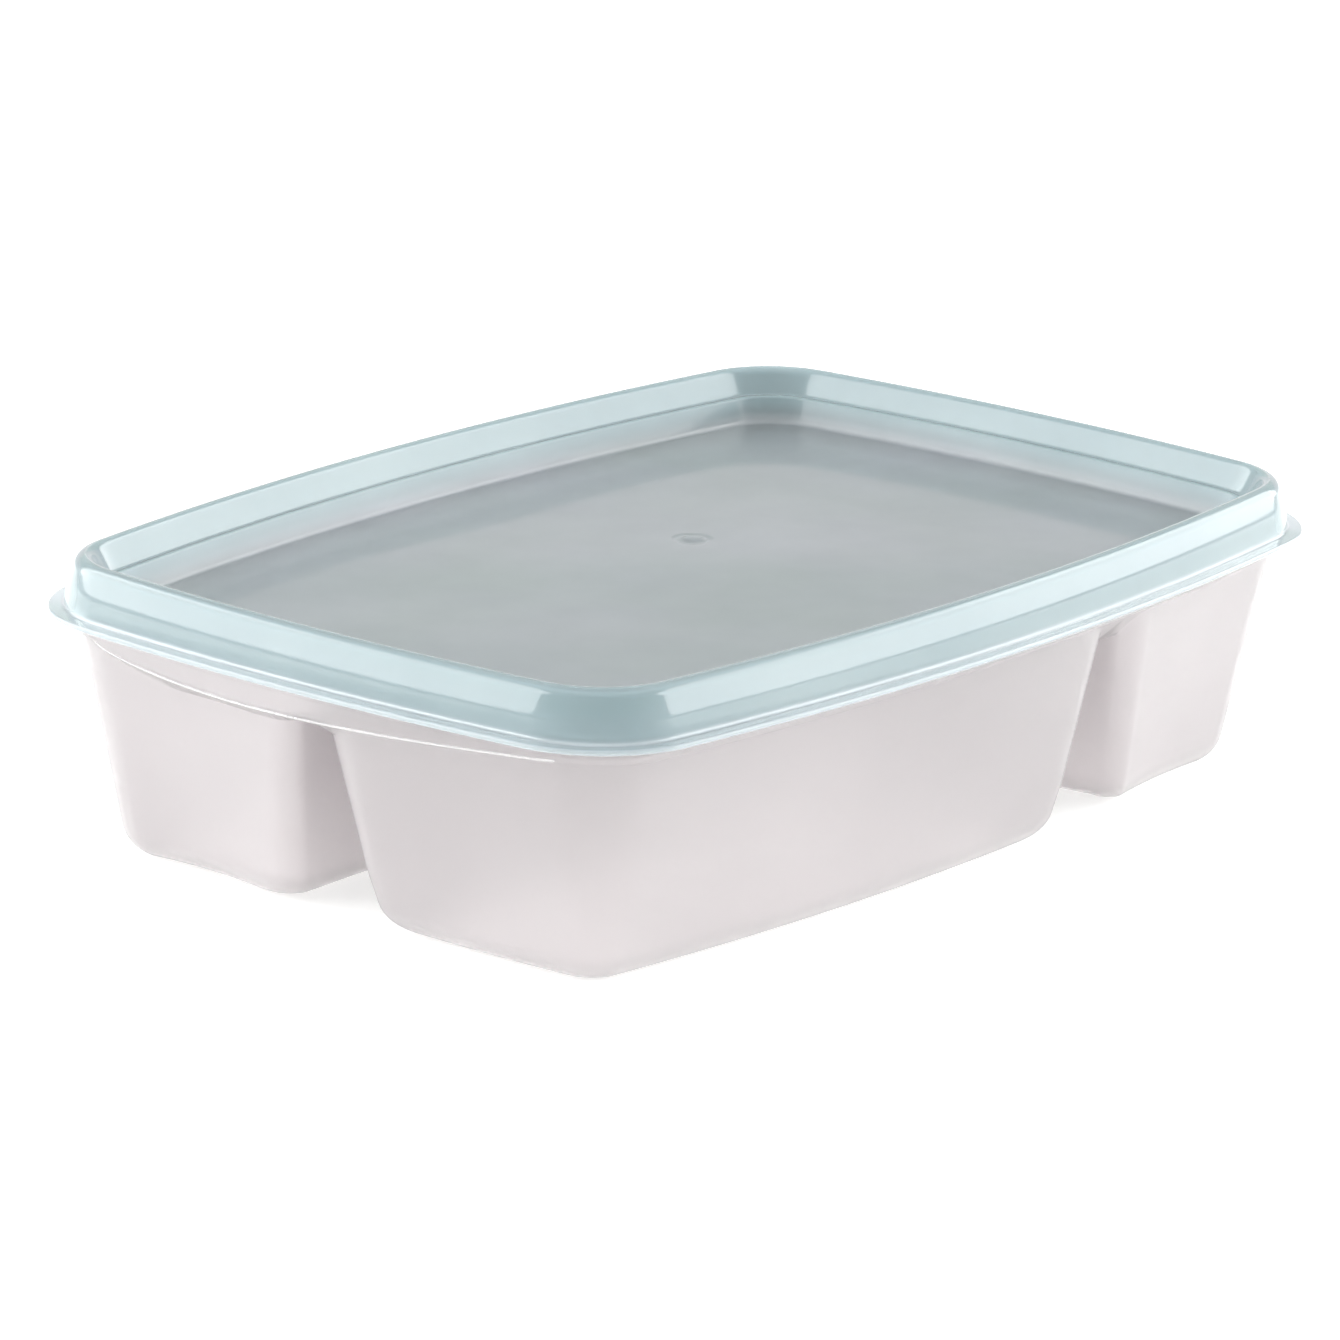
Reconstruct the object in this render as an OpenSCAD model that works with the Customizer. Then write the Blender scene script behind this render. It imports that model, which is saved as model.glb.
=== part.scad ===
// Divided lunch box: a one-piece tray with three deep wells, and a snap-fit lid.
// Origin: centre of the base on the table, +X along the long side, +Z up.
// Every outline is four bowed sides joined by corner arcs. Walls are stacks of such outlines,
// each moved inwards by an inset, so all the drafts and shoulders stay parallel.

/* [Plan] */
// Length over the lid's lip
lid_l = 240; // [225:1:260]
// Width over the lid's lip
lid_w = 167; // [155:1:180]
// Radius of the two bowed long sides
long_side_r = 700; // [600:10:900]
// Radius of the two bowed short sides
short_side_r = 550; // [450:10:800]
// Corner radius at the lid's lip
corner_r = 25; // [23:1:32]

/* [Heights] */
// Height of the closed box
box_h = 60; // [54:1:72]
// Height of the lid above its lip
lid_rise = 10.5; // [10:0.1:12]
// Depth below the lip at which the tray's sides start to lean in
draft_drop = 3; // [2:0.1:4]
// Depth below the lip of the ledge at the foot of the tray's plain band
ledge_drop = 7.5; // [6.5:0.1:8.5]

/* [Walls] */
// Wall thickness of the tray
tray_wall = 1.2; // [1:0.1:1.4]
// Wall thickness of the lid
lid_wall = 1.1; // [0.9:0.1:1.2]
// Draft of the well walls, in degrees from vertical
draft = 11.5; // [9:0.5:13]

/* [Tray] */
// Inset of the tray's rim from the lid's lip
rim_inset = 5.9; // [5.7:0.1:6.2]
// Reach of the snap bead outside the rim
snap_reach = 0.7; // [0.4:0.1:0.7]
// Step in from the rim to the outer walls of the large, the medium and the small well
shoulders = [1.2, 0.1, 0.9];
// Radius where the well walls meet the floor
floor_r = 7.5; // [5:0.5:9]
// X of the gap between the medium and the small well
gap_x = 42.8; // [30:0.5:55]
// Y of the gap between the large well and the other two
gap_y = 3.6; // [-5:0.5:10]
// Width of the gap between two wells, at the height where the walls start to lean
gap_w = 2; // [1.6:0.1:4]
// Radius of the well corners beside a gap, at that height
gap_corner_r = 13; // [11:0.5:18]

/* [Lid] */
// Thickness of the lip
lip_t = 1.2; // [1:0.1:1.6]
// Inset of the skirt from the lip's edge
skirt_inset = 3.1; // [2.6:0.1:3.4]
// Inset of the raised bead's inner top edge
bead_inset = 8.2; // [7.8:0.1:8.6]
// Inset of the recessed panel
panel_inset = 13.8; // [13:0.1:15]
// Place and diameter of the gate mark on the panel
gate_x = 15; // [-30:1:30]
gate_y = 12; // [-20:1:20]
gate_d = 4; // [3:0.5:6]

/* [Hidden] */

// Steps along each corner arc and each side arc
CORNER_STEPS = 6;
SIDE_STEPS = 6;
// Radius that stands for a straight side, and the smallest corner radius
STRAIGHT_R = 20000;
MIN_CORNER_R = 6;
CUT = 1;

lip_z = box_h - lid_rise;
rim_top_z = lip_z + 8.4;
draft_z = lip_z - draft_drop;

// The shoulder slopes in at 45 degrees from the ledge down to the deck's underside.
// Inside, it starts higher by as much as keeps it one wall thick.
ledge_z = lip_z - ledge_drop;
deck_z = ledge_z - 2.2;
inner_ledge_z = ledge_z + tray_wall * (sqrt(2) - 1) / (1 - tan(draft));
inner_deck_z = deck_z + tray_wall;

panel_t = 1.2;
panel_z = lip_z - 0.3;
step_z = lip_z + 5.2;
gate_h = 0.4;

// A side is [centre x, centre y, radius]. Sides run anticlockwise from the one that faces +X.
RIGHT = [lid_l / 2 - short_side_r, 0, short_side_r];
BACK = [0, lid_w / 2 - long_side_r, long_side_r];
LEFT = [short_side_r - lid_l / 2, 0, short_side_r];
FRONT = [0, long_side_r - lid_w / 2, long_side_r];
PLAN = [RIGHT, BACK, LEFT, FRONT];
PLAN_CORNERS = [corner_r, corner_r, corner_r, corner_r];

// The same side moved inwards
function moved(side, inset) = [side[0], side[1], side[2] - inset];

// Centre of the arc of radius r that rounds the corner between two sides
function corner_centre(side, next, r) =
    let (
        from = [side[0], side[1]],
        to = [next[0], next[1]],
        reach = norm(to - from),
        along = (to - from) / reach,
        across = [-along[1], along[0]],
        a = side[2] - r,
        b = next[2] - r,
        foot = (a * a - b * b + reach * reach) / (2 * reach)
    )
    from + along * foot + across * sqrt(a * a - foot * foot);

function heading(from, to) = atan2(to[1] - from[1], to[0] - from[0]);

// Points of an arc, turning the short way from one heading to the other
function arc(centre, r, start, end, steps, first = 0) =
    let (turn = (end - start + 540) % 360 - 180)
    [for (i = [first:steps]) centre + r * [cos(start + turn * i / steps), sin(start + turn * i / steps)]];

// One side after the corner before it: the corner's arc, then the side's own arc up to the next corner
function corner_and_side(before, side, next, r1, r2) =
    let (
        c1 = corner_centre(before, side, r1),
        c2 = corner_centre(side, next, r2),
        o = [side[0], side[1]],
        side_arc = arc(o, side[2], heading(o, c1), heading(o, c2), SIDE_STEPS, 1)
    )
    concat(
        arc(c1, r1, heading([before[0], before[1]], c1), heading(o, c1), CORNER_STEPS),
        [for (i = [0:SIDE_STEPS - 2]) side_arc[i]]
    );

// The closed outline of four sides, moved inwards; corners are the radii after each side, before the move
function outline(sides, corners, inset) =
    let (
        r = [for (corner = corners) max(corner - inset, MIN_CORNER_R)],
        s = [for (side = sides) moved(side, inset)]
    )
    [for (k = [0:3]) each corner_and_side(s[k], s[(k + 1) % 4], s[(k + 2) % 4], r[k], r[(k + 1) % 4])];

// A closed solid through outlines given as [height, inset], lowest first
module walls(sides, corners, levels) {
    rings = [for (level = levels) [for (p = outline(sides, corners, level[1])) [p[0], p[1], level[0]]]];
    n = len(rings[0]);
    top = len(rings) - 1;
    polyhedron(
        points = [for (ring = rings) each ring],
        faces = concat(
            [[for (i = [0:n - 1]) i]],
            [for (k = [0:top - 1]) for (i = [0:n - 1])
                [k * n + i, (k + 1) * n + i, (k + 1) * n + (i + 1) % n, k * n + (i + 1) % n]],
            [[for (i = [0:n - 1]) top * n + n - 1 - i]]
        )
    );
}

// An upright solid on the lip's plan moved inwards
module band(inset, low_z, high_z) {
    translate([0, 0, low_z])
        linear_extrude(high_z - low_z)
            polygon(outline(PLAN, PLAN_CORNERS, inset));
}

// Each well's four sides: plan sides moved in to the rim and the shoulder, and straight sides along the gaps
function rim_side(side, shoulder) = moved(side, rim_inset + shoulder);
above_gap = [0, gap_y + gap_w / 2 + STRAIGHT_R, STRAIGHT_R];
below_gap = [0, gap_y - gap_w / 2 - STRAIGHT_R, STRAIGHT_R];
left_of_gap = [gap_x - gap_w / 2 - STRAIGHT_R, 0, STRAIGHT_R];
right_of_gap = [gap_x + gap_w / 2 + STRAIGHT_R, 0, STRAIGHT_R];
LARGE = [rim_side(RIGHT, shoulders[0]), rim_side(BACK, shoulders[0]), rim_side(LEFT, shoulders[0]), above_gap];
MEDIUM = [left_of_gap, below_gap, rim_side(LEFT, shoulders[1]), rim_side(FRONT, shoulders[1])];
SMALL = [rim_side(RIGHT, shoulders[2]), below_gap, right_of_gap, rim_side(FRONT, shoulders[2])];

// Each well with the corner radii after its sides: wide under the rim's corners, tighter beside a gap
rim_corner_r = corner_r - rim_inset;
WELLS = [
    [LARGE, [rim_corner_r, rim_corner_r, gap_corner_r, gap_corner_r]],
    [MEDIUM, [gap_corner_r, gap_corner_r, rim_corner_r, gap_corner_r]],
    [SMALL, [gap_corner_r, gap_corner_r, gap_corner_r, rim_corner_r]]
];

// How far the tray's sides have moved in at height z
function lean(z) = (draft_z - z) * tan(draft);

// A well's solid from its floor up: skin 0 gives the outside, and the wall's thickness gives the cavity
module well(sides, corners, skin, top_z) {
    fillet_r = floor_r - skin;
    fillet_z = skin + fillet_r * (1 - sin(draft));
    fillet_inset = skin + lean(fillet_z);
    levels = concat(
        [for (turn = [90, 70, 50, 30])
            [skin + fillet_r * (1 - sin(turn)), fillet_inset + fillet_r * (cos(draft) - cos(turn))]],
        [[fillet_z, fillet_inset], [top_z, skin + lean(top_z)]]
    );
    walls(sides, corners, levels);
}

// The band that the lid closes on: upright at the top, leaning below draft_z, then the shoulder below bend_z
module rim(skin, low_z, bend_z, high_z) {
    inset = rim_inset + skin;
    walls(PLAN, PLAN_CORNERS, [
        [low_z, inset + lean(bend_z) + bend_z - low_z],
        [bend_z, inset + lean(bend_z)],
        [draft_z, inset],
        [high_z, inset]
    ]);
}

// One-piece tray: a rim with a snap bead, a shoulder, a deck between the wells, and three thin wells
module tray() {
    snap_z = lip_z + 0.4;
    snap_h = 1.2;
    color([0.86, 0.84, 0.85, 0.7])
        difference() {
            union() {
                rim(0, deck_z, ledge_z, rim_top_z);
                band(rim_inset - snap_reach, snap_z, snap_z + snap_h);
                for (w = WELLS)
                    well(w[0], w[1], 0, ledge_z + tray_wall / 2);
            }
            rim(tray_wall, inner_deck_z, inner_ledge_z, rim_top_z + CUT);
            for (w = WELLS)
                well(w[0], w[1], tray_wall, ledge_z + CUT);
        }
}

// The lid's outside: the lip, and the skirt that leans in and rounds over into the raised bead
module lid_outside() {
    bead_r = 2;
    bead_z = box_h - bead_r;
    skirt_top = skirt_inset + 1.2;
    band(0, lip_z - lip_t * 0.4, lip_z + lip_t * 0.6);
    walls(PLAN, PLAN_CORNERS, concat(
        [[lip_z, skirt_inset]],
        [for (turn = [0, 30, 60, 90]) [bead_z + bead_r * sin(turn), skirt_top + bead_r * (1 - cos(turn))]]
    ));
}

// The space under the bead that the tray's rim fills; it is narrower at the lip, so that the lid snaps on
module lid_channel() {
    inner_skirt = skirt_inset + lid_wall;
    walls(PLAN, PLAN_CORNERS, [
        [lip_z - lip_t, inner_skirt + 0.7],
        [lip_z, inner_skirt + 0.7],
        [lip_z + 0.4, inner_skirt],
        [rim_top_z, inner_skirt + 1.1],
        [box_h - lid_wall - 0.3, inner_skirt + 2]
    ]);
}

// Inset of the wall between the bead's inner top edge and the step
function bead_wall(z) = bead_inset + 3 * (box_h - z) / (box_h - step_z);

// The tub inside the bead: a drafted wall down to the step, and a smaller one from the step to the panel
module lid_tub(skin, top_z, floor_z) {
    low_z = step_z - skin;
    walls(PLAN, PLAN_CORNERS, [[low_z, bead_wall(low_z) - skin], [top_z, bead_wall(top_z) - skin]]);
    walls(PLAN, PLAN_CORNERS, [[floor_z, panel_inset - skin], [low_z + CUT / 2, panel_inset - 1.4 - skin]]);
}

// Snap-fit lid: lip, skirt, raised bead, and a recessed panel that the next box stands on
module lid() {
    color([0.72, 0.82, 0.84, 0.7])
        union() {
            difference() {
                union() {
                    difference() {
                        lid_outside();
                        lid_channel();
                    }
                    lid_tub(lid_wall, box_h - lid_wall / 2, panel_z - panel_t);
                }
                lid_tub(0, box_h + CUT, panel_z);
            }
            translate([gate_x, gate_y, panel_z - panel_t / 2])
                cylinder(d = gate_d, h = panel_t / 2 + gate_h, $fn = 32);
        }
}

tray();
lid();
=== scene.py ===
"""Divided lunch box: a thin translucent tray with three wells, and a translucent snap-fit lid.

The shapes are worked out in millimetres, in the part's own frame, and turned into metres when a mesh is made.
Every outline is four bowed sides joined by corner arcs, and every wall is a stack of such outlines,
each moved inwards by an inset from the lid's lip.
"""

import math

import bmesh
import bpy
import numpy as np
from mathutils import Matrix, Vector
from mathutils.geometry import delaunay_2d_cdt


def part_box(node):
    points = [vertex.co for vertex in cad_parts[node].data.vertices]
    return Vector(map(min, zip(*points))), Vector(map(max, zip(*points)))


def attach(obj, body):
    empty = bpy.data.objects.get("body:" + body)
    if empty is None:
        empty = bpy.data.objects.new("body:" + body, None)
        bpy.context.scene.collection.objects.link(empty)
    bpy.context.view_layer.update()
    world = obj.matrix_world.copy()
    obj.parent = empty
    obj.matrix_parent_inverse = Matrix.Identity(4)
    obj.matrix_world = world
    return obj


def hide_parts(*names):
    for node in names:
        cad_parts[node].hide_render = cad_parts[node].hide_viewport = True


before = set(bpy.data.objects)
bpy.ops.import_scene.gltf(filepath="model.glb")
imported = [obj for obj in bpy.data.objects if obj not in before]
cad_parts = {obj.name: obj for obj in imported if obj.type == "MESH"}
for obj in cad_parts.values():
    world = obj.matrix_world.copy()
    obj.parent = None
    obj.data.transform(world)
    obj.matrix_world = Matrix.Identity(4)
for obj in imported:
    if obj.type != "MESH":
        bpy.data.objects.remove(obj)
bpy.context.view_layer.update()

MM = 0.001


def node_box_mm(node):
    """A CAD node's lowest and highest corners, in millimetres."""
    low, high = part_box(node)
    return np.array(low) / MM, np.array(high) / MM


# ---- Sizes, from the frame and from how the box is built ----------------------------------------

lid_low, lid_high = node_box_mm("lid")
_, tray_high = node_box_mm("tray")

# Size over all, and the height of the tray's rim inside the lid
LID_L = lid_high[0] - lid_low[0]
LID_W = lid_high[1] - lid_low[1]
BOX_H = lid_high[2]
RIM_TOP = tray_high[2]

# Heights, measured from the lid's lip
LID_RISE = 10.5
LIP_Z = BOX_H - LID_RISE
LIP_LOW = LIP_Z - 0.5
LIP_TOP = LIP_Z + 0.6
SNAP_Z = LIP_Z + 1.0
STEP_Z = LIP_Z + 5.2
PANEL_Z = LIP_Z - 0.3
PANEL_T = PANEL_Z - lid_low[2]
DRAFT_Z = LIP_Z - 3.0
DECK_Z = LIP_Z - 9.7

# Radii in plan: a straight side is an arc so wide that its bow can't be seen
LONG_SIDE_R = 700.0
SHORT_SIDE_R = 550.0
STRAIGHT_R = 20000.0
CORNER_R = 25.0
MIN_CORNER_R = 6.0

# The tray's wall and rim
TRAY_WALL = 1.2
DRAFT = math.radians(11.5)
RIM_INSET = 5.9
RIM_ROUND = 0.5
SNAP_REACH = 0.7
SNAP_ROUND = 0.3

# The ledge at the band's foot: its drop below the lip, its further dip along the short sides, the power
# that skews the dip towards the back, its bead, its rise on the inside, and the turn-in under it
LEDGE_DROP = 4.0
LEDGE_DIP = 4.2
LEDGE_SKEW = 0.66
LEDGE_BEAD = 0.3
INNER_LEDGE_RISE = 0.62
FOOT_DROP = 0.06

# The wells, and the gaps between them
WELL_CLEARANCE = 0.2
FLOOR_R = 7.5
GAP_X = 42.8
GAP_Y = 3.6
GAP_W = 2.0
GAP_CORNER_R = 13.0
MOUTH_CORNER_R = 7.0

# The lid's wall, the insets of its parts from the lip, and its gate mark
LID_WALL = 1.1
SKIRT_INSET = 3.1
BEAD_INSET = 8.2
PANEL_INSET = 13.8
STEP_INSET = PANEL_INSET - 1.8
UNDER_BEAD_Z = BOX_H - 1.3
GATE_X = 15.0
GATE_Y = 12.0
GATE_R = 4.8

# Smoothness: steps along each corner arc and each side arc of an outline
CORNER_STEPS = 22
SIDE_STEPS = 42


# ---- Outlines -----------------------------------------------------------------------------------


def moved(side, inset):
    """The same side, [centre x, centre y, radius], moved inwards."""
    return (side[0], side[1], side[2] - inset)


RIGHT = (LID_L / 2 - SHORT_SIDE_R, 0.0, SHORT_SIDE_R)
BACK = (0.0, LID_W / 2 - LONG_SIDE_R, LONG_SIDE_R)
LEFT = (SHORT_SIDE_R - LID_L / 2, 0.0, SHORT_SIDE_R)
FRONT = (0.0, LONG_SIDE_R - LID_W / 2, LONG_SIDE_R)
PLAN = (RIGHT, BACK, LEFT, FRONT)

ABOVE_GAP = (0.0, GAP_Y + GAP_W / 2 + STRAIGHT_R, STRAIGHT_R)
BELOW_GAP = (0.0, GAP_Y - GAP_W / 2 - STRAIGHT_R, STRAIGHT_R)
LEFT_OF_GAP = (GAP_X - GAP_W / 2 - STRAIGHT_R, 0.0, STRAIGHT_R)
RIGHT_OF_GAP = (GAP_X + GAP_W / 2 + STRAIGHT_R, 0.0, STRAIGHT_R)


def corner_centre(side, following, r):
    """Centre of the arc of radius r that rounds the corner between two sides."""
    start = np.array(side[:2])
    end = np.array(following[:2])
    reach = np.linalg.norm(end - start)
    along = (end - start) / reach
    across = np.array([-along[1], along[0]])
    a = side[2] - r
    b = following[2] - r
    foot = (a * a - b * b + reach * reach) / (2 * reach)
    return start + along * foot + across * math.sqrt(a * a - foot * foot)


def arc(centre, r, start, end, steps, first, last):
    """Points and outward directions of an arc that turns the short way between two headings."""
    turn = (end - start + 3 * math.pi) % (2 * math.pi) - math.pi
    angles = start + turn * np.arange(first, last + 1) / steps
    out = np.stack([np.cos(angles), np.sin(angles)], axis=1)
    return np.array(centre) + r * out, out


def heading(start, end):
    """The direction from one point to another, as an angle."""
    return math.atan2(end[1] - start[1], end[0] - start[0])


def trace(sides, corners):
    """Points round four sides and their corners, with each point's outward direction, block and place."""
    points, outward, block, place = [], [], [], []
    for k in range(4):
        before, side, after = sides[k], sides[(k + 1) % 4], sides[(k + 2) % 4]
        r1, r2 = corners[k], corners[(k + 1) % 4]
        c1 = corner_centre(before, side, r1)
        c2 = corner_centre(side, after, r2)
        turn_in = arc(c1, r1, heading(before, c1), heading(side, c1), CORNER_STEPS, 0, CORNER_STEPS)
        run = arc(side[:2], side[2], heading(side, c1), heading(side, c2), SIDE_STEPS, 1, SIDE_STEPS - 1)
        for (p, n), steps, first in ((turn_in, CORNER_STEPS, 0), (run, SIDE_STEPS, 1)):
            points.append(p)
            outward.append(n)
            block += [k] * len(p)
            place += [first + (first + i) / steps for i in range(len(p))]
    return np.concatenate(points), np.concatenate(outward), np.array(block), np.array(place)


def press_depth(block, place, bumps):
    """How far each point is pressed in; bumps gives, by block, the depth at the start, middle and end."""
    depth = np.zeros(len(block))
    for i, (k, at) in enumerate(zip(block, place)):
        start, middle, end = bumps.get(k, (0.0, 0.0, 0.0))
        if at >= 1:
            u = at - 1
            depth[i] = start * (1 - u) * (1 - 2 * u) + middle * 4 * u * (1 - u) + end * u * (2 * u - 1)
        else:
            last_end = bumps.get((k - 1) % 4, (0.0, 0.0, 0.0))[2]
            ease = 0.5 - 0.5 * math.cos(math.pi * at)
            depth[i] = last_end + (start - last_end) * ease
    return depth


class Outline:
    """A closed curve in plan: four sides joined by corner arcs, with some sides pressed in.

    Block k is the corner after side k, then side k + 1. place runs from 0 to 1 in the corner
    and from 1 to 2 along the side. corners are the corner radii, block by block. The pressing changes
    from high_bumps, where the tray's sides start to lean, to low_bumps at the table.
    """

    def __init__(self, sides, corners, high_bumps=None, low_bumps=None):
        self.sides = sides
        self.corners = corners
        points, self.outward, block, place = trace(sides, corners)
        self.high_depth = press_depth(block, place, high_bumps or {})
        self.low_depth = press_depth(block, place, low_bumps or {})
        self.points = points - self.outward * self.high_depth[:, None]

    def ring(self, inset, z):
        """The curve moved inwards and lifted to z. Both may vary a little from point to point."""
        inset = np.broadcast_to(np.asarray(inset, float), len(self.points))
        z = np.broadcast_to(np.asarray(z, float), len(self.points))
        common = float(inset.mean())
        sides = [moved(side, common) for side in self.sides]
        corners = [max(r - common, MIN_CORNER_R) for r in self.corners]
        points, outward, _, _ = trace(sides, corners)
        share = np.clip(z / DRAFT_Z, 0, 1)
        depth = self.low_depth + (self.high_depth - self.low_depth) * share
        flat = points - outward * (inset - common + depth)[:, None]
        return np.column_stack([flat, z])


def distance_to(points, curve):
    """How far each point is from a closed curve."""
    a = curve
    along = np.roll(curve, -1, axis=0) - a
    square = (along**2).sum(axis=1)
    t = ((points[:, None, :] - a[None]) * along[None]).sum(axis=2) / square[None]
    nearest = a[None] + np.clip(t, 0, 1)[..., None] * along[None]
    return np.sqrt(((points[:, None, :] - nearest) ** 2).sum(axis=2)).min(axis=1)


def inside(points, curve):
    """Whether each point is inside a closed curve, from how often a line to its right crosses the curve."""
    x, y = points[:, None, 0], points[:, None, 1]
    x1, y1 = curve[None, :, 0], curve[None, :, 1]
    x2, y2 = np.roll(x1, -1, axis=1), np.roll(y1, -1, axis=1)
    spans = (y1 > y) != (y2 > y)
    rise = np.where(spans, y2 - y1, 1.0)
    crosses = spans & (x < x1 + (x2 - x1) * (y - y1) / rise)
    return crosses.sum(axis=1) % 2 == 1


# ---- Mesh building ------------------------------------------------------------------------------

# A corner that turns by less than twice this angle, in radians, is left sharp
NO_TURN = 0.02


class Shell:
    """Collects rings of points and the faces between them."""

    def __init__(self):
        self.points = []
        self.faces = []
        self.tags = []

    def add(self, ring):
        start = len(self.points)
        self.points.extend(map(tuple, ring))
        return list(range(start, start + len(ring)))

    def bridge(self, one, other, tag=0):
        """Joins two rings with faces; tag, the faces' material, may vary from face to face."""
        n = len(one)
        for i in range(n):
            j = (i + 1) % n
            self.faces.append((one[i], one[j], other[j], other[i]))
        self.tags.extend(np.broadcast_to(tag, n).tolist())

    def stack(self, rings, start=None, tag=0):
        """Adds rings one after another, joined in order, and returns the ids of the last."""
        last = start
        for ring in rings:
            ids = self.add(ring)
            if last is not None:
                self.bridge(last, ids, tag)
            last = ids
        return last

    def cap(self, ring, tag=0):
        self.faces.append(tuple(ring))
        self.tags.append(tag)


def make_piece(name, shell, materials, sharp_degrees):
    """A closed smooth mesh object, in metres, with normals that point outwards."""
    mesh = bpy.data.meshes.new(name)
    mesh.from_pydata([tuple(np.array(p) * MM) for p in shell.points], [], shell.faces)
    for polygon, tag in zip(mesh.polygons, shell.tags):
        polygon.material_index = tag
    for material in materials:
        mesh.materials.append(material)
    work = bmesh.new()
    work.from_mesh(mesh)
    bmesh.ops.recalc_face_normals(work, faces=work.faces)
    work.to_mesh(mesh)
    work.free()
    mesh.shade_smooth()
    mesh.set_sharp_from_angle(angle=math.radians(sharp_degrees))
    piece = bpy.data.objects.new(name, mesh)
    bpy.context.scene.collection.objects.link(piece)
    return piece


def rounded(corners, steps=6):
    """A polyline with each corner, given as (inset, z, radius), replaced by an arc of that radius."""
    line = [np.array(c[:2], float) for c in corners]
    out = [line[0]]
    for before, at, after, (_, _, r) in zip(line, line[1:], line[2:], corners[1:]):
        u = (before - at) / np.linalg.norm(before - at)
        v = (after - at) / np.linalg.norm(after - at)
        half = math.acos(float(np.clip(u @ v, -1, 1))) / 2
        if r <= 0 or half > math.pi / 2 - NO_TURN:
            out.append(at)
            continue
        cut = r / math.tan(half)
        middle = (u + v) / np.linalg.norm(u + v)
        centre = at + middle * r / math.sin(half)
        start = at + u * cut - centre
        end = at + v * cut - centre
        sweep = math.atan2(start[0] * end[1] - start[1] * end[0], start @ end)
        for i in range(steps + 1):
            turn = sweep * i / steps
            spin = np.array([[math.cos(turn), -math.sin(turn)], [math.sin(turn), math.cos(turn)]])
            out.append(centre + spin @ start)
    out.append(line[-1])
    return out


# ---- Tray ---------------------------------------------------------------------------------------


def rim_side(side):
    """A side of the plan, moved in to where a well's wall meets the rim."""
    return moved(side, RIM_INSET + WELL_CLEARANCE)


RIM_CORNER_R = CORNER_R - RIM_INSET

# Each well: its four sides, its corner radii, and how far its sides are pressed in at the top and at the
# table. The pressing is given by the block that the side is in, at the side's start, middle and end.
WELLS = (
    (
        (rim_side(RIGHT), rim_side(BACK), rim_side(LEFT), ABOVE_GAP),
        (RIM_CORNER_R, RIM_CORNER_R, MOUTH_CORNER_R, MOUTH_CORNER_R),
        {1: (0.0, 2.0, 1.3), 2: (0.5, 0.0, 0.5), 3: (1.3, 2.0, 0.0)},
        {1: (0.0, 2.0, 1.3), 2: (-1.6, 0.0, -1.6), 3: (1.3, 2.0, 0.0)},
    ),
    (
        (LEFT_OF_GAP, BELOW_GAP, rim_side(LEFT), rim_side(FRONT)),
        (GAP_CORNER_R, GAP_CORNER_R, RIM_CORNER_R, GAP_CORNER_R),
        {0: (0.0, 0.0, -1.0), 1: (0.0, 0.3, 0.0)},
        {0: (0.0, 0.0, 2.2), 1: (1.5, 0.6, 0.0)},
    ),
    (
        (rim_side(RIGHT), BELOW_GAP, RIGHT_OF_GAP, rim_side(FRONT)),
        (GAP_CORNER_R, GAP_CORNER_R, MOUTH_CORNER_R, RIM_CORNER_R),
        {2: (0.3, 1.0, 0.0), 3: (0.0, 1.5, 1.0)},
        {1: (0.0, 1.0, 3.5), 2: (1.0, 1.5, 0.0), 3: (0.0, 1.5, 1.0)},
    ),
)


def lean(z):
    """How far the tray's sides have moved in at height z."""
    return (DRAFT_Z - z) * math.tan(DRAFT)


def along_short_side(points):
    """How far along a short side each point is: 0 at its back end and 1 at its front end."""
    reach = LID_W / 2 - CORNER_R
    return np.clip((reach - points[:, 1]) / (2 * reach), 0, 1)


def dip_share(points):
    """The shape of the ledge's dip along the short sides, from 0 to 1; it is 0 on the long sides."""
    return np.sin(math.pi * along_short_side(points) ** LEDGE_SKEW)


def ledge_z(points):
    """Height of the ledge at the foot of the plain band."""
    return LIP_Z - LEDGE_DROP - LEDGE_DIP * dip_share(points)


def rim_profile():
    """The rim's section, as (inset, z): up past the snap bead, over the top and down the inside."""
    outer = RIM_INSET
    inner = RIM_INSET + TRAY_WALL
    return rounded([
        (outer, DRAFT_Z, 0),
        (outer, SNAP_Z - 0.9, SNAP_ROUND),
        (outer - SNAP_REACH, SNAP_Z - 0.3, SNAP_ROUND),
        (outer - SNAP_REACH, SNAP_Z + 0.3, SNAP_ROUND),
        (outer, SNAP_Z + 0.9, SNAP_ROUND),
        (outer, RIM_TOP, RIM_ROUND),
        (inner, RIM_TOP, RIM_ROUND),
        (inner, DRAFT_Z, 0),
    ])


def band_rings(plan, skin, rise, bead):
    """The leaning band from the rim down to the ledge, which swells out by bead and then turns in."""
    foot_z = ledge_z(plan.points) + rise
    bead = bead * dip_share(plan.points)
    rings = []
    for t in np.linspace(0, 1, 8)[1:-1]:
        z = DRAFT_Z + (foot_z + 0.6 - DRAFT_Z) * t
        rings.append(plan.ring(RIM_INSET + skin + lean(z), z))
    for lift, swell in ((0.45, 0.15), (0.3, 0.7), (0.15, 1.0), (0.0, 0.8)):
        z = foot_z + lift
        rings.append(plan.ring(RIM_INSET + skin + lean(z) - bead * swell, z))
    rings.append(plan.ring(RIM_INSET + skin + lean(foot_z) + FOOT_DROP, foot_z - FOOT_DROP))
    return rings


def curve(start, middle, end, t):
    """A quadratic curve's value at t, which runs from 0 at its start to 1 at its end."""
    return (1 - t) ** 2 * start + 2 * t * (1 - t) * middle + t**2 * end


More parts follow.
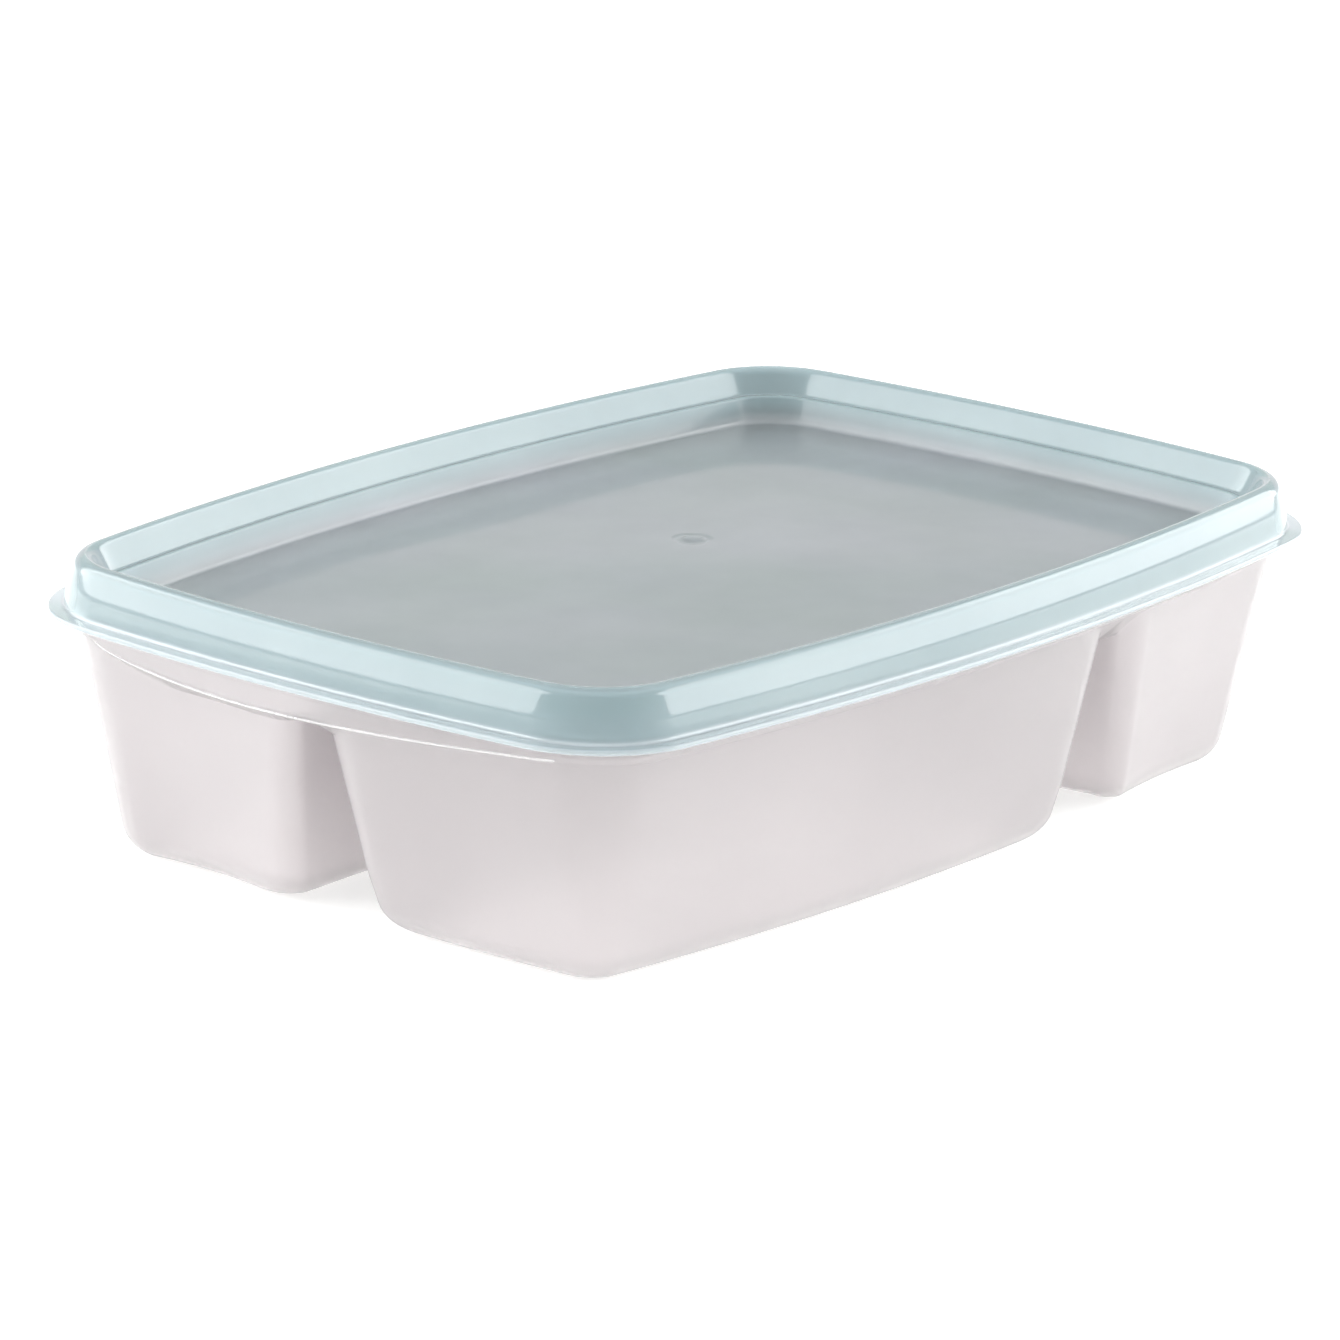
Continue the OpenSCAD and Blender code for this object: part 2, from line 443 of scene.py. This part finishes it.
def well_rings(outline, skin, rim, rise, deck_z, roll):
    """One face of a well, from the shoulder or the deck down to the floor's edge, as a list of rings."""
    gap = distance_to(outline.points - outline.outward * skin, rim)
    foot_z = ledge_z(outline.points) + rise
    depth = foot_z - deck_z
    z_edge = foot_z - np.minimum(gap / (1 - math.tan(DRAFT)), depth)
    reach = gap + lean(z_edge) - lean(foot_z)
    roll = np.minimum(roll, 0.6 * reach)
    z_out = foot_z - np.minimum(reach - roll, depth)
    wall_top = z_edge - roll

    rings = []
    for t in np.linspace(0, 1, 6):
        inset = skin + curve(lean(z_edge) - roll, lean(z_edge), lean(wall_top), t)
        z = curve(z_out, z_edge, wall_top, t)
        rings.append(outline.ring(inset, z))

    fillet_r = FLOOR_R - skin
    fillet_z = skin + fillet_r * (1 - math.sin(DRAFT))
    for t in np.linspace(0, 1, 14)[1:]:
        z = wall_top + (fillet_z - wall_top) * t
        rings.append(outline.ring(skin + lean(z), z))
    for turn in np.linspace(DRAFT, math.pi / 2, 12)[1:]:
        z = skin + fillet_r * (1 - math.sin(turn))
        inset = skin + lean(fillet_z) + fillet_r * (math.cos(DRAFT) - math.cos(turn))
        rings.append(outline.ring(inset, z))
    return rings


def floor_rings(edge, count=5):
    """Rings that shrink from a floor's edge towards its middle."""
    middle = edge.mean(axis=0)
    return [middle + (edge - middle) * (1 - t) for t in np.linspace(0, 0.92, count)[1:]]


def fill_deck(shell, foot_ids, hole_ids):
    """Fills the deck between the rim's foot and the tops of the wells with triangles."""
    loops = [foot_ids] + hole_ids
    ids = [i for loop in loops for i in loop]
    flat = [Vector(shell.points[i][:2]) for i in ids]
    edges = []
    start = 0
    for loop in loops:
        n = len(loop)
        edges += [(start + i, start + (i + 1) % n) for i in range(n)]
        start += n
    _, _, triangles, origin, _, _ = delaunay_2d_cdt(flat, edges, [], 0, 1e-6)
    middles = np.array([sum((np.array(flat[origin[v][0]]) for v in t), np.zeros(2)) / 3 for t in triangles])
    keep = inside(middles, np.array([shell.points[i][:2] for i in foot_ids]))
    for hole in hole_ids:
        keep &= ~inside(middles, np.array([shell.points[i][:2] for i in hole]))
    for kept, triangle in zip(keep, triangles):
        if kept:
            shell.faces.append(tuple(ids[origin[v][0]] for v in triangle))
            shell.tags.append(0)


def build_tray(material, bead_highlight_material):
    """The tray. The ledge's bead on the short sides has a glossier material whose lighter tone is a painted
    highlight.
    """
    shell = Shell()
    plan = Outline(PLAN, [CORNER_R] * 4)
    rings = band_rings(plan, 0.0, 0.0, LEDGE_BEAD)[::-1]
    rings += [plan.ring(inset, z) for inset, z in rim_profile()]
    rings += band_rings(plan, TRAY_WALL, INNER_LEDGE_RISE, 0.0)
    along = along_short_side(plan.points)
    # The bead's faces along the short sides, which take the painted highlight tone
    bead_highlight_faces = ((along > 0) & (along < 1)).astype(int)
    outer_foot = shell.add(rings[0])
    bead_top = shell.stack(rings[1:5], start=outer_foot, tag=bead_highlight_faces)
    inner_foot = shell.stack(rings[5:], start=bead_top)

    outer_face = (0.0, outer_foot, 0.0, DECK_Z, 0.5)
    inner_face = (TRAY_WALL, inner_foot, INNER_LEDGE_RISE, DECK_Z + TRAY_WALL, 1.5)
    for skin, foot_ids, rise, deck_z, roll in (outer_face, inner_face):
        rim = plan.ring(RIM_INSET + skin, 0)[:, :2]
        tops = []
        for well in WELLS:
            outline = Outline(*well)
            walls = well_rings(outline, skin, rim, rise, deck_z, roll)
            tops.append(shell.add(walls[0]))
            last = shell.stack(walls[1:] + floor_rings(walls[-1]), start=tops[-1])
            shell.cap(last)
        fill_deck(shell, foot_ids, tops)

    piece = make_piece("tray_shell", shell, [material, bead_highlight_material], 50)
    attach(piece, "tray_body")
    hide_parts("tray")


# ---- Lid ----------------------------------------------------------------------------------------


def lid_bead_profile():
    """The lid's outside, as (inset, z), from its lip up the skirt, over the bead and down to the step."""
    return rounded([
        (SKIRT_INSET + 1.8, LIP_LOW, 0),
        (0.0, LIP_LOW, 0.45),
        (0.0, LIP_TOP, 0.45),
        (SKIRT_INSET - 0.1, LIP_TOP, 0.7),
        (SKIRT_INSET + 0.6, STEP_Z, 12.0),
        (SKIRT_INSET + 2.3, BOX_H, 2.6),
        (BEAD_INSET, BOX_H, 1.8),
        (PANEL_INSET - 2.6, STEP_Z, 1.0),
        (STEP_INSET, STEP_Z, 0),
    ])


def lid_recess_profile():
    """The lid's recess, as (inset, z), from the step down to the panel."""
    return rounded([
        (STEP_INSET, STEP_Z, 0),
        (PANEL_INSET - 1.3, STEP_Z, 0.7),
        (PANEL_INSET, PANEL_Z, 1.2),
        (PANEL_INSET + 1.6, PANEL_Z, 0),
    ])


def lid_under_profile():
    """The lid's lower side, as (inset, z), from the panel out over the channel and down to the lip."""
    inner_skirt = SKIRT_INSET + LID_WALL
    return rounded([
        (PANEL_INSET + 1.5, PANEL_Z - PANEL_T, 0),
        (PANEL_INSET - 1.1, PANEL_Z - PANEL_T, 1.6),
        (PANEL_INSET - 2.5, STEP_Z - 1.2, 0.5),
        (PANEL_INSET - 3.7, STEP_Z - 1.1, 1.2),
        (7.5, UNDER_BEAD_Z, 0.9),
        (inner_skirt + 1.3, UNDER_BEAD_Z, 1.0),
        (inner_skirt, LIP_TOP, 0.3),
        (inner_skirt + 0.7, LIP_Z, 0.2),
        (SKIRT_INSET + 1.8, LIP_LOW, 0),
    ])


def panel_warp(x, y):
    """How far the thin panel bows and ripples off flat, fading out at its edge, in millimetres."""
    u = x / (LID_L / 2 - PANEL_INSET)
    v = y / (LID_W / 2 - PANEL_INSET)
    fade = np.clip(1 - u**4, 0, 1) * np.clip(1 - v**4, 0, 1)
    ripple = 0.16 * np.sin(2.1 * math.pi * u + 0.7) * np.cos(1.1 * math.pi * v + 0.4)
    return fade * (0.28 * (1 - u * u) * (1 - v * v) + ripple)


def panel_rings(edge, z, final_r, count=34):
    """Rings from the panel's edge that turn little by little into a circle round the gate mark."""
    gate = np.array([GATE_X, GATE_Y])
    angles = np.arctan2(edge[:, 1] - GATE_Y, edge[:, 0] - GATE_X)
    circle = gate + final_r * np.column_stack([np.cos(angles), np.sin(angles)])
    rings = []
    for t in np.linspace(0, 1, count)[1:]:
        flat = edge[:, :2] * (1 - t) + circle * t
        rings.append(np.column_stack([flat, z + panel_warp(flat[:, 0], flat[:, 1])]))
    return rings


# The gate mark from its edge to its middle: the share of its radius, and the height above the panel
GATE_PROFILE = (
    (0.9, 0.0), (0.82, -0.06), (0.72, -0.14), (0.62, -0.16), (0.52, -0.1), (0.44, 0.02),
    (0.38, 0.16), (0.3, 0.28), (0.2, 0.36), (0.1, 0.4), (0.03, 0.4),
)


def gate_rings(edge):
    """The gate mark: a shallow ring-shaped dent round a small nub, inside the panel's last ring."""
    middle = np.array([GATE_X, GATE_Y, edge[:, 2].mean()])
    rings = []
    for share, lift in GATE_PROFILE:
        ring = middle + (edge - middle) * share
        ring[:, 2] = middle[2] + lift
        rings.append(ring)
    return rings


def build_lid(rim_and_lip_highlight_material, panel_shade_material):
    """The lid. The panel and the recess round it have a material of their own, darker as painted shade; the
    rim's material paints the lip paler as a painted highlight.
    """
    shell = Shell()
    plan = Outline(PLAN, [CORNER_R] * 4)
    bead = [plan.ring(inset, z) for inset, z in lid_bead_profile()]
    recess = [plan.ring(inset, z) for inset, z in lid_recess_profile()]
    under = [plan.ring(inset, z) for inset, z in lid_under_profile()]

    lip_edge = shell.add(bead[0])
    step_edge = shell.stack(bead[1:], start=lip_edge)
    panel = recess[1:] + panel_rings(recess[-1], PANEL_Z, GATE_R)
    panel += gate_rings(panel[-1])
    shell.cap(shell.stack(panel, start=step_edge, tag=1), tag=1)

    panel_edge = shell.stack(under[-2::-1], start=lip_edge)
    below = panel_rings(under[0], PANEL_Z - PANEL_T, GATE_R)
    shell.cap(shell.stack(below, start=panel_edge, tag=1), tag=1)

    piece = make_piece("lid_shell", shell, [rim_and_lip_highlight_material, panel_shade_material], 50)
    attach(piece, "lid_body")
    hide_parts("lid")


# ---- Materials ----------------------------------------------------------------------------------

# The part of a noise texture's range that nearly all of it falls in
NOISE_LOW = 0.3
NOISE_HIGH = 0.7

TRAY_TONES = ((0.845, 0.808, 0.82), (0.885, 0.846, 0.858))
# Lighter tones for the ledge's bead on the short sides: a painted highlight along the ledge line
BEAD_HIGHLIGHT_TONES = ((0.91, 0.885, 0.90), (0.94, 0.915, 0.93))
LID_TONES = ((0.47, 0.615, 0.655), (0.55, 0.69, 0.72))
# Paler tones for the lid's lip, below its top: a painted highlight along the lip
LIP_HIGHLIGHT_TONES = ((0.74, 0.83, 0.87), (0.80, 0.88, 0.92))
# Darker tones for the panel and the foot of its recess: painted shade for the dark inside seen through it
PANEL_SHADE_TONES = ((0.38, 0.43, 0.44), (0.42, 0.45, 0.49))
FLOOR_TONES = ((0.84, 0.84, 0.83), (0.86, 0.86, 0.85))


def set_stops(color_ramp, stops):
    """Gives a colour ramp its stops, each a position and a colour."""
    elements = color_ramp.elements
    while len(elements) < len(stops):
        elements.new(0.5)
    for element, (position, colour) in zip(elements, stops):
        element.position = position
        element.color = (*colour, 1)


class Nodes:
    """Short names for adding and linking shader nodes."""

    def __init__(self, name):
        self.material = bpy.data.materials.new(name)
        self.material.use_nodes = True
        self.tree = self.material.node_tree
        self.tree.nodes.clear()

    def add(self, kind, **values):
        node = self.tree.nodes.new(kind)
        for key, value in values.items():
            setattr(node, key, value)
        return node

    def link(self, start, end):
        self.tree.links.new(start, end)

    def noise(self, scale, detail, stretch=(1, 1, 1)):
        place = self.add("ShaderNodeTexCoord")
        mapping = self.add("ShaderNodeMapping")
        mapping.inputs["Scale"].default_value = stretch
        self.link(place.outputs["Object"], mapping.inputs["Vector"])
        noise = self.add("ShaderNodeTexNoise")
        noise.inputs["Scale"].default_value = scale
        noise.inputs["Detail"].default_value = detail
        self.link(mapping.outputs["Vector"], noise.inputs["Vector"])
        return noise.outputs["Fac"]

    def clouded(self, value, tones):
        """A colour that goes from one tone to the other with a noise value."""
        ramp = self.add("ShaderNodeValToRGB")
        set_stops(ramp.color_ramp, ((NOISE_LOW, tones[0]), (NOISE_HIGH, tones[1])))
        self.link(value, ramp.inputs["Fac"])
        return ramp.outputs["Color"]

    def spread(self, value, low, high):
        """A noise value, spread to run from low to high."""
        spread = self.add("ShaderNodeMapRange")
        spread.inputs["From Min"].default_value = NOISE_LOW
        spread.inputs["From Max"].default_value = NOISE_HIGH
        spread.inputs["To Min"].default_value = low
        spread.inputs["To Max"].default_value = high
        self.link(value, spread.inputs["Value"])
        return spread.outputs["Result"]

    def height_share(self, low, high):
        """0 below the height low, 1 above the height high, and smooth between."""
        place = self.add("ShaderNodeTexCoord")
        parts = self.add("ShaderNodeSeparateXYZ")
        share = self.add("ShaderNodeMapRange", interpolation_type="SMOOTHSTEP")
        share.inputs["From Min"].default_value = low
        share.inputs["From Max"].default_value = high
        self.link(place.outputs["Object"], parts.inputs["Vector"])
        self.link(parts.outputs["Z"], share.inputs["Value"])
        return share.outputs["Result"]

    def mix(self, share, start, end):
        """A colour that goes from start to end with a share from 0 to 1."""
        mix = self.add("ShaderNodeMixRGB")
        self.link(share, mix.inputs["Fac"])
        self.link(start, mix.inputs["Color1"])
        self.link(end, mix.inputs["Color2"])
        return mix.outputs["Color"]

    def bump(self, value, strength, distance):
        bump = self.add("ShaderNodeBump")
        bump.inputs["Strength"].default_value = strength
        bump.inputs["Distance"].default_value = distance
        self.link(value, bump.inputs["Height"])
        return bump.outputs["Normal"]


def translucent_plastic(name, tones, transmission, roughness, ripple, coat, upper=None):
    """Moulded polypropylene: milky and see-through, with faint clouding and flow ripples under a gloss.

    upper gives the tones higher up, with the heights in millimetres where they start and are complete.
    The lid uses this to paint its lip paler, a painted highlight, and its panel darker, painted shade.
    """
    n = Nodes(name)
    cloud = n.noise(22, 5)
    flow = n.noise(60, 3, (1, 1, 2.5))
    grain = n.noise(900, 2)
    shader = n.add("ShaderNodeBsdfPrincipled")
    shader.inputs["IOR"].default_value = 1.49
    shader.inputs["Transmission Weight"].default_value = transmission
    shader.inputs["Coat Weight"].default_value = coat
    shader.inputs["Coat Roughness"].default_value = 0.07
    colour = n.clouded(cloud, tones)
    if upper:
        upper_tones, low, high = upper
        upper_colour = n.clouded(cloud, upper_tones)
        colour = n.mix(n.height_share(low * MM, high * MM), colour, upper_colour)
    n.link(colour, shader.inputs["Base Color"])
    n.link(n.spread(flow, *roughness), shader.inputs["Roughness"])
    both = n.add("ShaderNodeMath", operation="MULTIPLY_ADD")
    both.inputs[1].default_value = 0.04
    n.link(grain, both.inputs[0])
    n.link(flow, both.inputs[2])
    n.link(n.bump(both.outputs["Value"], 0.35, ripple), shader.inputs["Normal"])
    out = n.add("ShaderNodeOutputMaterial")
    n.link(shader.outputs["BSDF"], out.inputs["Surface"])
    return n.material


def floor_material():
    """A pale tabletop, lit softly from inside like a light table."""
    n = Nodes("studio_floor")
    shader = n.add("ShaderNodeBsdfPrincipled")
    shader.inputs["Roughness"].default_value = 0.9
    shader.inputs["Emission Color"].default_value = (1.0, 1.0, 0.99, 1)
    shader.inputs["Emission Strength"].default_value = 0.55
    n.link(n.clouded(n.noise(2, 2), FLOOR_TONES), shader.inputs["Base Color"])
    out = n.add("ShaderNodeOutputMaterial")
    n.link(shader.outputs["BSDF"], out.inputs["Surface"])
    return n.material


# ---- Studio -------------------------------------------------------------------------------------

# The camera, as degrees, metres and millimetres of lens. Its aim is left of and below the lip's middle.
VIEW_AZIMUTH = -51.45
VIEW_ELEVATION = 15.46
VIEW_ROLL = 1.51
VIEW_DISTANCE = 1.421
VIEW_LENS = 193.5
AIM_LEFT = 0.0043
AIM_BELOW = 0.0208

# Half the floor's width, in metres
FLOOR_HALF = 6.0

# The surroundings: the top of the low wall, as the sine of its elevation, the colours from there
# upwards, and the strength away from and towards the side that is dimmed
WALL_TOP = 0.268
WALL_STOPS = (
    (WALL_TOP - 0.004, (1.0, 0.98, 1.0)),
    (WALL_TOP + 0.004, (0.76, 0.84, 0.80)),
    (0.45, (0.80, 0.86, 0.83)),
    (0.8, (1.0, 1.0, 1.0)),
)
DIM_SIDE = (-0.74, -0.59, -0.32)
FULL_STRENGTH = 0.92
DIM_STRENGTH = 0.68


def view_axes(azimuth, elevation, roll):
    """The camera's right, up and back directions."""
    back = Vector((
        math.sin(azimuth) * math.cos(elevation),
        -math.cos(azimuth) * math.cos(elevation),
        math.sin(elevation),
    ))
    right = (-back).cross(Vector((0, 0, 1))).normalized()
    up = right.cross(-back)
    return (
        right * math.cos(roll) + up * math.sin(roll),
        up * math.cos(roll) - right * math.sin(roll),
        back,
    )


def build_camera():
    """A long lens from the front left, a little above the box."""
    angles = (math.radians(VIEW_AZIMUTH), math.radians(VIEW_ELEVATION), math.radians(VIEW_ROLL))
    right, up, back = view_axes(*angles)
    lip_centre = Vector((0, 0, LIP_Z * MM))
    eye = lip_centre + back * VIEW_DISTANCE
    aim = lip_centre - right * AIM_LEFT - up * AIM_BELOW
    look = (eye - aim).normalized()
    side = up.cross(look).normalized()
    data = bpy.data.cameras.new("camera")
    data.sensor_width = 36
    data.lens = VIEW_LENS
    data.clip_start = 0.05
    camera = bpy.data.objects.new("camera", data)
    turn = Matrix((side, look.cross(side), look)).transposed()
    camera.matrix_world = Matrix.Translation(eye) @ turn.to_4x4()
    bpy.context.scene.collection.objects.link(camera)
    bpy.context.scene.camera = camera


def add_softbox(name, place, target, size, power):
    """A rectangular area light that faces its target, in metres and watts."""
    data = bpy.data.lights.new(name, "AREA")
    data.shape = "RECTANGLE"
    data.size, data.size_y = size
    data.energy = power
    lamp = bpy.data.objects.new(name, data)
    lamp.location = place
    lamp.rotation_euler = (Vector(target) - Vector(place)).to_track_quat("-Z", "Y").to_euler()
    bpy.context.scene.collection.objects.link(lamp)


def build_studio():
    """The floor, the surroundings and two softboxes."""
    mesh = bpy.data.meshes.new("floor")
    corners = [(x * FLOOR_HALF, y * FLOOR_HALF, 0) for x, y in ((-1, -1), (1, -1), (1, 1), (-1, 1))]
    mesh.from_pydata(corners, [], [(0, 1, 2, 3)])
    mesh.materials.append(floor_material())
    floor = bpy.data.objects.new("floor", mesh)
    bpy.context.scene.collection.objects.link(floor)

    bpy.context.scene.world = studio_world()
    add_softbox("left_softbox", (-1.0, 1.3, 0.85), (-0.25, 0, 0.05), (2.4, 1.5), 32)
    add_softbox("right_softbox", (1.35, -1.1, 0.75), (0, -0.45, 0.05), (2.4, 1.4), 29)
    bpy.context.scene.view_settings.view_transform = "Standard"


def studio_world():
    """Soft white surroundings with a brighter low wall, dimmer towards the front left and below."""
    world = bpy.data.worlds.new("studio")
    world.use_nodes = True
    tree = world.node_tree
    background = tree.nodes["Background"]
    place = tree.nodes.new("ShaderNodeTexCoord")
    towards_dim_side = tree.nodes.new("ShaderNodeVectorMath")
    towards_dim_side.operation = "DOT_PRODUCT"
    towards_dim_side.inputs[1].default_value = DIM_SIDE
    strength = tree.nodes.new("ShaderNodeMapRange")
    strength.interpolation_type = "SMOOTHSTEP"
    strength.inputs["From Min"].default_value = 0.2
    strength.inputs["From Max"].default_value = 0.9
    strength.inputs["To Min"].default_value = FULL_STRENGTH
    strength.inputs["To Max"].default_value = DIM_STRENGTH
    tree.links.new(place.outputs["Generated"], towards_dim_side.inputs[0])
    tree.links.new(towards_dim_side.outputs["Value"], strength.inputs["Value"])
    tree.links.new(strength.outputs["Result"], background.inputs["Strength"])

    height = tree.nodes.new("ShaderNodeSeparateXYZ")
    wall = tree.nodes.new("ShaderNodeValToRGB")
    set_stops(wall.color_ramp, WALL_STOPS)
    tree.links.new(place.outputs["Generated"], height.inputs["Vector"])
    tree.links.new(height.outputs["Z"], wall.inputs["Fac"])
    tree.links.new(wall.outputs["Color"], background.inputs["Color"])
    return world


# ---- Scene --------------------------------------------------------------------------------------

build_camera()
build_studio()
build_tray(
    translucent_plastic("tray_plastic", TRAY_TONES, 0.75, (0.34, 0.44), 0.0001, 0.3),
    # The bead's material, lighter in tone as a painted highlight on the ledge line
    translucent_plastic("tray_bead_painted_highlight", BEAD_HIGHLIGHT_TONES, 0.5, (0.2, 0.3), 0.0001, 1.0),
)
# The lid: its lip painted paler as a painted highlight, its panel painted darker as painted shade
build_lid(
    translucent_plastic(
        "lid_plastic", LIP_HIGHLIGHT_TONES, 0.6, (0.14, 0.22), 0.00008, 1.0, (LID_TONES, LIP_TOP, LIP_TOP + 1.2)),
    translucent_plastic(
        "lid_panel_painted_shade", PANEL_SHADE_TONES, 0.5, (0.30, 0.42), 0.0001, 0.6, (LID_TONES, PANEL_Z, STEP_Z)),
)
